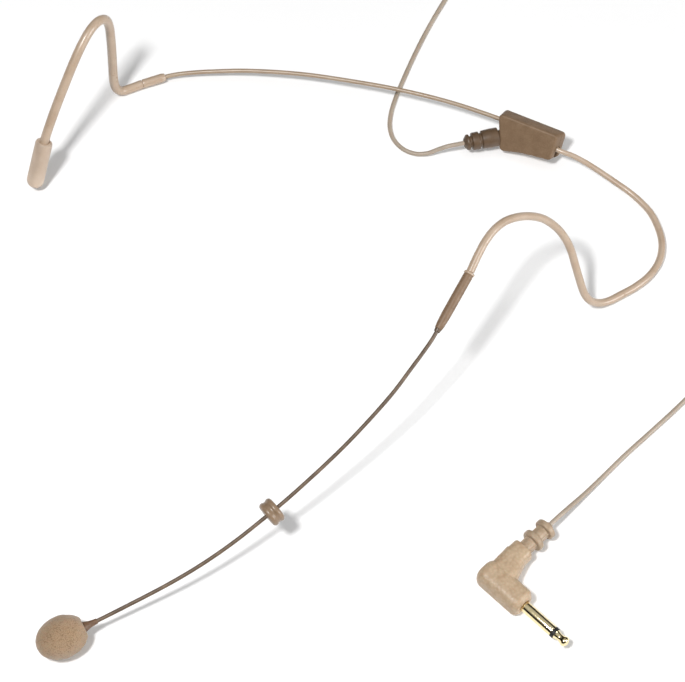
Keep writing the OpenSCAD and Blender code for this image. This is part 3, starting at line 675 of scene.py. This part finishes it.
def coil_path():
    """Points along the stored coil's turns, clockwise from where the lead comes in."""
    start, end, per_turn, crossing, unevenness = 222, 75, 24, 4, 0.12
    turns = len(COIL_SLOTS) - 1 + (start - end) / 360
    points = []
    for i in range(round(turns * per_turn) + 1):
        turn, step = divmod(i, per_turn)
        column, layer = COIL_SLOTS[min(turn, len(COIL_SLOTS) - 1)]
        next_column, next_layer = COIL_SLOTS[min(turn + 1, len(COIL_SLOTS) - 1)]
        share = max(0, (step - per_turn + crossing) / crossing)
        share = share * share * (3 - 2 * share)
        column += (next_column - column) * share
        layer += (next_layer - layer) * share
        r = COIL_MEAN_D / 2 + (column - (COIL_COLUMNS - 1) / 2) * LEAD_D
        a = math.radians(start - 360 * i / per_turn)
        r += unevenness * noise.noise(Vector((i * 0.21, 4.1, 0.3)))
        z = LEAD_D / 2 + layer * LAYER_PITCH
        points.append(COIL_AT + Vector((r * math.cos(a), r * math.sin(a), z)))
    return points


def make_lead():
    """One curve: out of the strain relief, round the coil and back to the plug."""
    steps, trimmed = 5, 3
    outward = smooth(LEAD_OUT_ROUTE, steps)[:-trimmed]
    inward = smooth(LEAD_IN_ROUTE, steps)[trimmed:]
    path = smooth(outward + coil_path()[1:] + inward, 2)
    curve = bpy.data.curves.new("lead", "CURVE")
    curve.dimensions = "3D"
    curve.bevel_depth = LEAD_D / 2 * MM
    curve.bevel_resolution = 5
    curve.use_fill_caps = True
    spline = curve.splines.new("POLY")
    spline.points.add(len(path) - 1)
    for point, place in zip(spline.points, path):
        point.co = (*(place * MM), 1)
    spline.use_smooth = True
    lead = dressed(new_object("lead", curve), "headband", "lead_jacket",
                   "lead_from_block", "lead_coil", "lead_to_plug")
    return lead


def make_tie():
    """A hook-and-loop strap round the coil's bundle, with its tail lapped over."""
    width, thick, angle = 3, 0.35, math.radians(-50)
    beside, above, gap = 0.3, 0.15, 0.05
    edge_out, edge_in = 0.06, 0.12
    half_r = COIL_COLUMNS * LEAD_D / 2 + beside
    half_z = (LEAD_D + 2 * LAYER_PITCH) / 2 + above
    radial = Vector((math.cos(angle), math.sin(angle), 0))
    tangent = Vector((-math.sin(angle), math.cos(angle), 0))
    up = Vector((0, 0, 1))
    middle = COIL_AT + radial * COIL_MEAN_D / 2 + up * (half_z + gap)
    rings = []
    steps, lap, climb = 64, 12, 6
    for i in range(steps + lap + 1):
        a = math.radians(110) + 2 * math.pi * i / steps
        c, s = math.cos(a), math.sin(a)
        bulge = (abs(c) ** 4 + abs(s) ** 4) ** -0.25
        rise = gap + thick * min(1, max(0, (i - steps + climb) / climb))
        out = unit(radial * c + up * s)
        inner = middle + radial * half_r * c * bulge + up * half_z * s * bulge + out * rise
        rings.append([
            inner - tangent * width / 2,
            inner - tangent * (width / 2 + edge_out) + out * thick / 2,
            inner - tangent * (width / 2 - edge_in) + out * thick,
            inner + tangent * (width / 2 - edge_in) + out * thick,
            inner + tangent * (width / 2 + edge_out) + out * thick / 2,
            inner + tangent * width / 2,
        ])
    tie = shaded(loft("lead_tie_strap", rings))
    return dressed(tie, "headband", "black_rubber", "lead_tie")


# ---- plug


def plug_place():
    return Matrix.Translation(PLUG_FACE) @ Matrix.Rotation(math.radians(PLUG_HEADING), 4, "Z")


def shaft_place():
    """A frame whose Z runs along the shaft from the body's face."""
    return plug_place() @ Matrix.Rotation(math.radians(90), 4, "Y")


def neck_place():
    """A frame whose Z runs along the plug's neck from the shaft's axis."""
    shift = Matrix.Translation((NECK_AT, 0, 0))
    return plug_place() @ shift @ Matrix.Rotation(math.radians(-90), 4, "X")


def block_ring(place, z, half_x, half_y, power, sides=64):
    """A ring between an ellipse and a rectangle at height z of its frame."""
    ring = []
    for k in range(sides):
        a = 2 * math.pi * k / sides
        c, s = math.cos(a), math.sin(a)
        grow = (abs(c) ** power + abs(s) ** power) ** (-1 / power)
        ring.append(place @ Vector((half_x * c * grow, half_y * s * grow, z)))
    return ring


def stack(name, place, levels, power):
    """A solid through rings at (height, half width, half depth, sideways shift)."""
    rings = [[place @ Vector((levels[0][3], 0, levels[0][0]))]]
    for z, half_x, half_y, shift in levels:
        moved = place @ Matrix.Translation((shift, 0, 0))
        rings.append(block_ring(moved, z, half_x, half_y, power))
    rings.append([place @ Vector((levels[-1][3], 0, levels[-1][0]))])
    return loft(name, rings)


def make_plug_body():
    """The right-angle moulding: a barrel round the shaft and a neck that tapers to the relief."""
    barrel_r, pebble_depth = 4.3, 0.035
    barrel = stack("barrel", shaft_place(), [
        (-17.2, 2.1, 2.1, 0), (-17.05, 2.8, 2.8, 0), (-16.6, 3.5, 3.5, 0), (-15.9, 4.0, 4.0, 0),
        (-14.9, barrel_r, barrel_r, 0), (-1.6, barrel_r, barrel_r, 0), (-0.9, 4, 4, 0),
        (-0.2, 3.1, 3.3, 0), (0, 2.9, 3.1, 0),
    ], 2.9)
    neck = stack("neck", neck_place(), [
        (0, 5.3, 3.9, 1.7), (3.2, 5.15, 3.9, 1.55), (4.6, 4.75, 3.85, 1.1), (6, 4.4, 3.8, 0.7),
        (7.6, 4.15, 3.75, 0.4), (9.0, 3.95, 3.7, 0.12), (9.9, 3.9, 3.68, 0), (10.4, 3.6, 3.6, 0),
        (13.1, 3.55, 3.55, 0), (13.5, 3.4, 3.4, 0),
    ], 3.4)
    sink = bore("shaft_sink", 1.9, -1, 1, shaft_place(), 48)
    seat = bore("relief_seat", 2.4, 12.6, 15, neck_place(), 48)
    combine(barrel, [sink], "DIFFERENCE")
    combine(neck, [seat], "DIFFERENCE")
    body = moulded(joined_up("plug_moulding", [barrel, neck]), voxel=0.16, rounds=5)
    pushed(body, lambda p: pebble_depth * (0.5 - min(noise.voronoi(p / PEBBLE)[0][0], 1)))
    return dressed(shaded(body, 50), "headband", "plug_tan", "plug_body")


def make_plug_relief():
    """Ribs on a core, joined by bridges that lie crosswise from gap to gap."""
    place = neck_place()
    core = [(0.85, 8.2), (2.15, 8.2), (2.15, 24.6, 0.3), (1.25, 25.3, 0.2), (0.85, 25.3)]
    parts = [shell("relief_core", core, place, 0.12)]
    root_r, thick, soft = 2.0, 2, 0.55
    for start, r in ((17, 3.65), (22.3, 3.45)):
        end = start + thick
        rib = [(root_r, start), (r, start, soft), (r, end, soft), (root_r, end)]
        parts.append(shell("relief_rib", rib, place, 0.1))
    deep, off_centre, squareness = 1.2, 1.55, 8
    for low, high, wide in ((13.4, 17.3, 2.9), (18.7, 22.6, 2.7)):
        for side in (-off_centre, off_centre):
            levels = [(low, deep / 2, wide / 2, 0), (high, deep / 2, wide / 2, 0)]
            moved = place @ Matrix.Translation((side, 0, 0))
            parts.append(stack("relief_bridge", moved, levels, squareness))
    relief = joined_up("plug_relief_moulding", parts)
    moulded(relief, voxel=0.1, rounds=3)
    return dressed(shaded(relief, 60), "headband", "plug_tan", "plug_strain_relief",
                   finish="plug_relief")


def make_plug_shaft():
    """The shaft's gold sleeve, its black ring and its waisted gold tip."""
    place = shaft_place()
    r = 1.75
    ring_r = r + 0.04
    sleeve = [(1.0, -9), (1.4, -9, 0.1), (1.4, 0.02, 0), (r, 0.02, 0.06), (r, 11.78, 0.1),
              (1.0, 11.78, 0.05)]
    insulator = [(0.52, -8.5), (0.98, -8.5), (0.98, 11.81), (ring_r, 11.81, 0.08),
                 (ring_r, 12.99, 0.08), (0.52, 12.99)]
    tip = [(0, 13), (1.42, 13), (1.45, 13.15), (1.2, 14), (1.1, 14.5), (1.13, 14.9), (1.35, 15.5),
           (1.58, 16), (1.64, 16.35), (1.6, 16.7), (1.38, 17.05), (1.0, 17.35), (0.5, 17.55),
           (0, 17.6)]
    tip = [(p.x, p.y) for p in smooth([(*p, 0) for p in tip], 4)]
    tip[0] = (0, tip[0][1])
    tip[-1] = (0, tip[-1][1])
    return [
        dressed(shaded(shell("shaft_sleeve", sleeve, place, 0.05, 96)),
                "headband", "gold", "plug_sleeve"),
        dressed(shaded(shell("shaft_insulator", insulator, place, 0.05, 96)),
                "headband", "black_plastic", "plug_insulator"),
        dressed(shaded(turned("shaft_tip", tip, place, 96)), "headband", "gold", "plug_tip"),
    ]


# ---- splice block


def block_place():
    return Matrix.Translation(BLOCK_AT) @ Matrix.Rotation(math.radians(-BLOCK_LEAN), 4, "X")


def inset(points, distance):
    """A counter-clockwise outline with every edge moved inwards."""
    moved = []
    p = [Vector(q) for q in points]
    for i, corner in enumerate(p):
        before = unit(corner - p[i - 1])
        after = unit(p[(i + 1) % len(p)] - corner)
        n1, n2 = Vector((-before.y, before.x)), Vector((-after.y, after.x))
        moved.append(tuple(corner + (n1 + n2) * (distance / (1 + n1.dot(n2)))))
    return moved


def slanted(x, y):
    """Draws the block's end back towards its front face, so that the end looks forward."""
    return x - END_SLANT * max(0, x / BLOCK_LENGTH) * (1 - y / BLOCK_T)


def cover_ring(shrink, y, corner):
    outline = soft_corners(inset(BLOCK_OUTLINE, shrink), max(corner - shrink, 0.25), 7)
    return [block_place() @ Vector((slanted(x, y), y, z)) for x, z in outline]


def make_cover(name, node, rear):
    """Half of the block: a thin-walled tray with a rounded rim, cut where things pass through."""
    edge, corner, steps = 0.65, 1.4, 6
    inner_edge, seam_edge, seam_gap, face_in, floor_in = 0.3, 0.1, 0.01, 0.4, 2.6

    def at(depth):
        return BLOCK_T - depth if rear else depth

    seam = BLOCK_T / 2 - seam_gap
    rings = [
        cover_ring(shrink, at(depth), corner)
        for shrink, depth in (
            (floor_in, BLOCK_WALL), (BLOCK_WALL + inner_edge, BLOCK_WALL),
            (BLOCK_WALL, BLOCK_WALL + inner_edge), (BLOCK_WALL, seam),
            (seam_edge, seam), (0, seam - seam_edge),
        )
    ]
    for k in range(steps + 1):
        a = math.radians(90 * k / steps)
        rings.append(cover_ring(edge * (1 - math.cos(a)), at(edge * (1 - math.sin(a))), corner))
    rings.append(cover_ring(edge + face_in, at(0), corner))
    cover = loft(name, rings)
    place = block_place()
    band = along(place @ BAND_HOLE_FROM, place.to_3x3() @ Vector((1, 0, 0)))
    relief = along(RELIEF_ROOT, RELIEF_DIR)
    cutters = [
        bore("band_hole", 1.1, 0, 8, band, 40),
        bore("relief_root_hole", 2.25, -1.5, 4, relief, 48),
        bore("relief_hole", 3.25, 1.55, 13, relief, 48),
        box_of("jacket_slot", SLOT_LOW, SLOT_HIGH, place),
    ]
    combine(cover, cutters, "DIFFERENCE")
    return dressed(shaded(cover, 32), "headband", "tan_hard", node)


def make_strain_relief():
    """A stepped rubber sleeve with two deep flex grooves and a rounded nose."""
    length = (Vector(LEAD_OUT_ROUTE[0]) - RELIEF_ROOT).length
    outline = [
        (0.8, 0), (2.2, 0), (2.2, 1.6, 0), (3.2, 1.6), (3.22, 4.4, 0.4), (3.05, 7.1, 0.25),
        (2.35, 7.25, 0.2), (2.35, 7.95, 0.2), (3.02, 8.1, 0.3), (2.95, 10.5, 0.3),
        (1.95, 10.65, 0.2), (1.95, 11.35, 0.2), (2.8, 11.5, 0.35), (2.55, 12.4, 0.6),
        (1.3, length, 0.3), (0.8, length, 0.05),
    ]
    relief = shell("strain_relief_sleeve", outline, along(RELIEF_ROOT, RELIEF_DIR), 0.12, 96)
    # Its finish is the darker relief rubber, whose colour is partly painted shade of its grooves
    return dressed(shaded(relief, 50), "headband", "brown_rubber", "strain_relief",
                   finish="relief_rubber_and_groove_shade")


# ---- hooks and neckband


def make_tubes():
    """The jackets over the springs. The right band's coat runs on into the block's wall."""
    left_bore, right_bore, into_block = 0.71, 0.5, 3
    left_band = left_path[LEFT_BAND_FROM:LEFT_HOOK_FROM + 1]
    left_hook = left_path[LEFT_HOOK_FROM:]
    right_hook = right_path[RIGHT_HOOK_FROM:RIGHT_HOOK_TO + 1]
    right_band = right_path[RIGHT_BAND_FROM:RIGHT_BAND_TO + into_block]
    tubes = [
        jacket("left_band_tube", left_band, lambda share: 0.85 + 0.45 * share, left_bore),
        jacket("left_hook_tube", left_hook, 1.3, left_bore, lip=0.06),
        jacket("right_hook_tube", right_hook, 1.55, right_bore, sides=32, lip=0.3),
        jacket("right_band_tube", right_band, 0.75, right_bore, lip=0.05),
    ]
    nodes = ["left_band_jacket", "left_ear_hook", "right_ear_hook", "right_band_coat"]
    for tube, node in zip(tubes, nodes):
        dressed(shaded(tube, 60), "headband", "tan_soft", node,
                finish="band_coat" if node == "right_band_coat" else "tan_soft")


def make_ferrule():
    """The stepped end where the thin wire goes into the thicker tube."""
    start, end = right_path[RIGHT_HOOK_TO], right_path[RIGHT_BAND_FROM]
    length = (end - start).length
    outline = [
        (0.7, 0.1), (1.51, 0.1, 0.1), (1.55, 0.5, 0.1), (1.51, length - 1.3, 0.5),
        (1.25, length - 0.2, 0.3), (0.78, length, 0.1),
    ]
    ferrule = shell("right_ferrule_sleeve", outline, along(start, unit(end - start)), 0.1)
    dressed(shaded(ferrule, 50), "headband", "tan_soft", "right_ferrule")


def make_end_cap():
    """A soft clear cap with a domed end, pushed over the hook's tip."""
    r, length, bore_r, bore_from = 2.9, 18, 1.66, 5.6
    direction = unit(Vector(RIGHT_ROUTE[2]) - Vector(RIGHT_ROUTE[0]))
    tip = Vector(RIGHT_ROUTE[0]) - r * direction
    dome = [
        (r * math.sin(math.radians(a)), r - r * math.cos(math.radians(a))) for a in range(0, 90, 6)
    ]
    mouth = [(r, 12), (r * 0.985, length - 0.7), (r * 0.93, length - 0.2), (r * 0.85, length),
             (bore_r + 0.25, length), (bore_r, length - 0.3)]
    bore = [(bore_r, bore_from + 0.8), (bore_r * 0.7, bore_from + 0.2), (0, bore_from)]
    cap = turned("clear_end_cap", dome + [(r, 5), (r, 8)] + mouth + bore, along(tip, direction), 96)
    dressed(shaded(cap, 50), "headband", "clear_cap", "end_cap")


# ---- boom, its swivel, ring, boot and foam


def make_boom():
    """The thin tube, with its two hidden ends inside the sleeve and the boot."""
    in_sleeve, sleeve_steps, in_boot, boot_steps = 8.4, 12, 3.4, 5
    start = SLEEVE_END - in_sleeve * SLEEVE_DIR
    line = [start + (SLEEVE_END - start) * k / sleeve_steps for k in range(sleeve_steps)]
    line += boom_path
    line += [BOOM_END + CAPSULE_DIR * in_boot * k / boot_steps for k in range(1, boot_steps + 1)]
    boom = jacket("boom_rod", line, 0.625, 0.35, sides=20, lip=0.05, wobble=0.02)
    dressed(shaded(boom, 60), "boom", "boom_coating", "boom_tube")


def make_sleeve():
    """The sleeve that the boom swivels in, and the collar between it and the left hook."""
    place = along(SLEEVE_TOP, SLEEVE_DIR)
    end = SLEEVE_LEN
    sleeve = [
        (1.24, 1), (1.5, 1, 0.1), (1.55, 1.5, 0.2), (1.57, 8, 1), (1.55, end - 4.8, 0.8),
        (1.36, end - 1.4, 0.5), (1.18, end, 0.2), (0.91, end, 0.05), (0.91, 14.5), (1.24, 14.5),
    ]
    collar = [(0.76, 0.2), (1.6, 0.2, 0.12), (1.76, 0.4, 0.15), (1.76, 0.85, 0.12),
              (1.62, 0.99, 0.1), (0.76, 0.99)]
    dressed(shaded(shell("swivel_sleeve", sleeve, place, 0.05, 96), 50), "headband",
            "brown_rubber", "boom_sleeve")
    dressed(shaded(shell("swivel_collar", collar, place, 0.05, 96), 50), "headband",
            "tan_soft", "sleeve_collar")


def make_sweat_ring():
    """Two round lobes with a shallow groove between them."""
    at = Vector(BOOM_ROUTE[RING_POINT])
    direction = unit(Vector(BOOM_ROUTE[RING_POINT + 1]) - Vector(BOOM_ROUTE[RING_POINT - 1]))
    outer, half, lobe, sweep, bore_r, steps = 4.1, 2.2, 1.1, 42, 0.83, 12
    outline = [(bore_r, -half)]
    for middle in (-lobe, lobe):
        low, high = (-90, sweep) if middle < 0 else (-sweep, 90)
        for k in range(steps + 1):
            a = math.radians(low + (high - low) * k / steps)
            outline.append((outer - lobe + lobe * math.cos(a), middle + lobe * math.sin(a)))
    outline.append((bore_r, half))
    ring = turned("sweat_ring_rubber", outline, along(at, direction), 96, joined=True)
    dressed(shaded(ring, 60), "sweat_ring", "brown_rubber", "sweat_ring", finish="ring_rubber")


def make_boot():
    """The rubber cone between the boom and the capsule's housing."""
    place = along(BOOM_END, CAPSULE_DIR)
    bore_r, end = 0.67, 4.15
    outline = [
        (bore_r, -0.4), (0.82, -0.4, 0.06), (0.88, 0.5, 0.4), (1.08, 2, 0.6), (1.46, 3.2, 0.5),
        (1.8, end, 0.1), (bore_r, end),
    ]
    dressed(shaded(shell("boot_cone", outline, place, 0.04, 72), 50), "boom",
            "brown_rubber", "capsule_boot", finish="boot_rubber")


def make_foam():
    """An egg of open-cell foam with a rolled mouth round the capsule's neck."""
    half = FOAM_LEN / (1 + math.sin(math.radians(FOAM_MOUTH_ANGLE)))
    bore_r, slack = 2.35, 0.5
    bore_end = BOOT_LEN + CAPSULE_LEN + slack - (FOAM_AT - BOOM_END).length
    sides, steps = 216, 132
    egg = []
    for i in range(steps + 1):
        a = math.radians(-FOAM_MOUTH_ANGLE + (90 + FOAM_MOUTH_ANGLE) * i / steps)
        egg.append((FOAM_R * math.cos(a), half * math.sin(a)))
    egg[-1] = (0, half)
    lip_r, lip_z = egg[0]
    lip = [
        (bore_r, lip_z + 1.5), (bore_r, lip_z + 0.5), (bore_r + 0.12, lip_z + 0.15),
        (bore_r + 0.32, lip_z + 0.02), ((bore_r + lip_r) / 2, lip_z - 0.04),
    ]
    outline = [(0, bore_end), (bore_r * 0.8, bore_end), (bore_r, bore_end - 0.4)] + lip + egg
    foam = turned("foam_ball", outline, along(FOAM_AT, CAPSULE_DIR), sides)

    pit_depth, pit_r, sunk = 0.14, 0.45, 0.06

    def height(p):
        """Slow and quick unevenness, less a pit in each cell."""
        pit = pit_depth * max(0, pit_r - noise.voronoi(p / FOAM_CELL)[0][0])
        return 0.12 * noise.noise(p / 2.6) + 0.04 * noise.noise(p / 0.9) - pit - sunk

    shaded(pushed(foam, height), 80)
    dressed(foam, "windscreen", "foam", "windscreen")


# ---- CAD pieces that keep their shape


def finish_inner_pieces():
    """Materials of the pieces whose CAD shape is right."""
    slots = {
        "capsule_housing": "capsule_metal", "capsule_grille": "capsule_metal",
        "electret_capsule": "capsule_metal", "capsule_seal": "black_rubber",
        "boom_lead": "copper", "left_mic_lead": "copper", "swivel_pin": "boom_coating",
        "swivel_bush": "brass", "left_spring_wire": "spring_steel",
        "right_spring_wire": "spring_steel", "wire_clamp": "brass", "splice_board": "board",
        "solder_joints": "solder", "cable_ferrule": "brass", "cable_tail": "lead_jacket",
        "plug_rod": "brass",
    }
    for node, slot in slots.items():
        for material_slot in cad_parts[node].material_slots:
            material_slot.material = finishes[slot]


# ---- floor and light


def make_floor():
    """A plain pale table top, in metres."""
    mesh = bpy.data.meshes.new("table_top")
    half = 3.0
    corners = [(-half, -half, 0), (half, -half, 0), (half, half, 0), (-half, half, 0)]
    mesh.from_pydata(corners, [], [(0, 1, 2, 3)])
    floor = new_object("table_top", mesh)
    f = Finish("table_paint", Roughness=0.8, Specular_IOR_Level=0.15)
    f.colour(f.clouds(400, 2), (0.3, (243, 243, 243)), (0.7, (247, 247, 247)))
    mesh.materials.append(f.material)


# Lights, in metres and watts. The room goes from its walls' level to its ceiling's, by height
KEY_AT, KEY_SIZE, KEY_POWER = (-0.075, -0.4, 0.97), 0.13, 8.3
FILL_AT, FILL_SIZE, FILL_POWER = (1.2, 0.1, 0.5), 0.5, 11
WALL_LEVEL, WALLS_TO, CEILING_FROM = 0.015, 0.5, 0.88
ROOM_STRENGTH = 0.56


def area_light(name, at, size, power):
    """A square light that faces the object."""
    data = bpy.data.lights.new(name, "AREA")
    data.shape = "RECTANGLE"
    data.size = data.size_y = size
    data.energy = power
    light = bpy.data.objects.new(name, data)
    light.location = at
    light.rotation_mode = "QUATERNION"
    light.rotation_quaternion = (-Vector(at)).to_track_quat("-Z", "Y")
    bpy.context.scene.collection.objects.link(light)
    return data


def make_light():
    """A soft key from the picture's upper left, a shadowless fill from its right, and a room with
    a bright ceiling and dim walls."""
    area_light("key", KEY_AT, KEY_SIZE, KEY_POWER)
    fill = area_light("fill", FILL_AT, FILL_SIZE, FILL_POWER)
    fill.use_shadow = False
    world = bpy.data.worlds.new("room")
    world.use_nodes = True
    nodes, links = world.node_tree.nodes, world.node_tree.links
    split = nodes.new("ShaderNodeSeparateXYZ")
    links.new(nodes.new("ShaderNodeTexCoord").outputs["Generated"], split.inputs["Vector"])
    ramp = nodes.new("ShaderNodeValToRGB")
    walls, ceiling = ramp.color_ramp.elements
    walls.position, ceiling.position = WALLS_TO, CEILING_FROM
    walls.color, ceiling.color = (*[WALL_LEVEL] * 3, 1), (1, 1, 1, 1)
    links.new(split.outputs["Z"], ramp.inputs["Fac"])
    links.new(ramp.outputs["Color"], nodes["Background"].inputs["Color"])
    nodes["Background"].inputs["Strength"].default_value = ROOM_STRENGTH
    bpy.context.scene.world = world
    bpy.context.scene.view_settings.view_transform = "Standard"


make_camera()
plug_pieces = [make_plug_body(), make_plug_relief(), *make_plug_shaft()]
tie = make_tie()
make_lead()
make_cover("front_cover_shell", "block_front_cover", rear=False)
make_cover("rear_cover_shell", "block_rear_cover", rear=True)
make_strain_relief()
make_tubes()
make_ferrule()
make_end_cap()
make_boom()
make_sleeve()
make_sweat_ring()
make_boot()
make_foam()
finish_inner_pieces()
make_floor()
make_light()
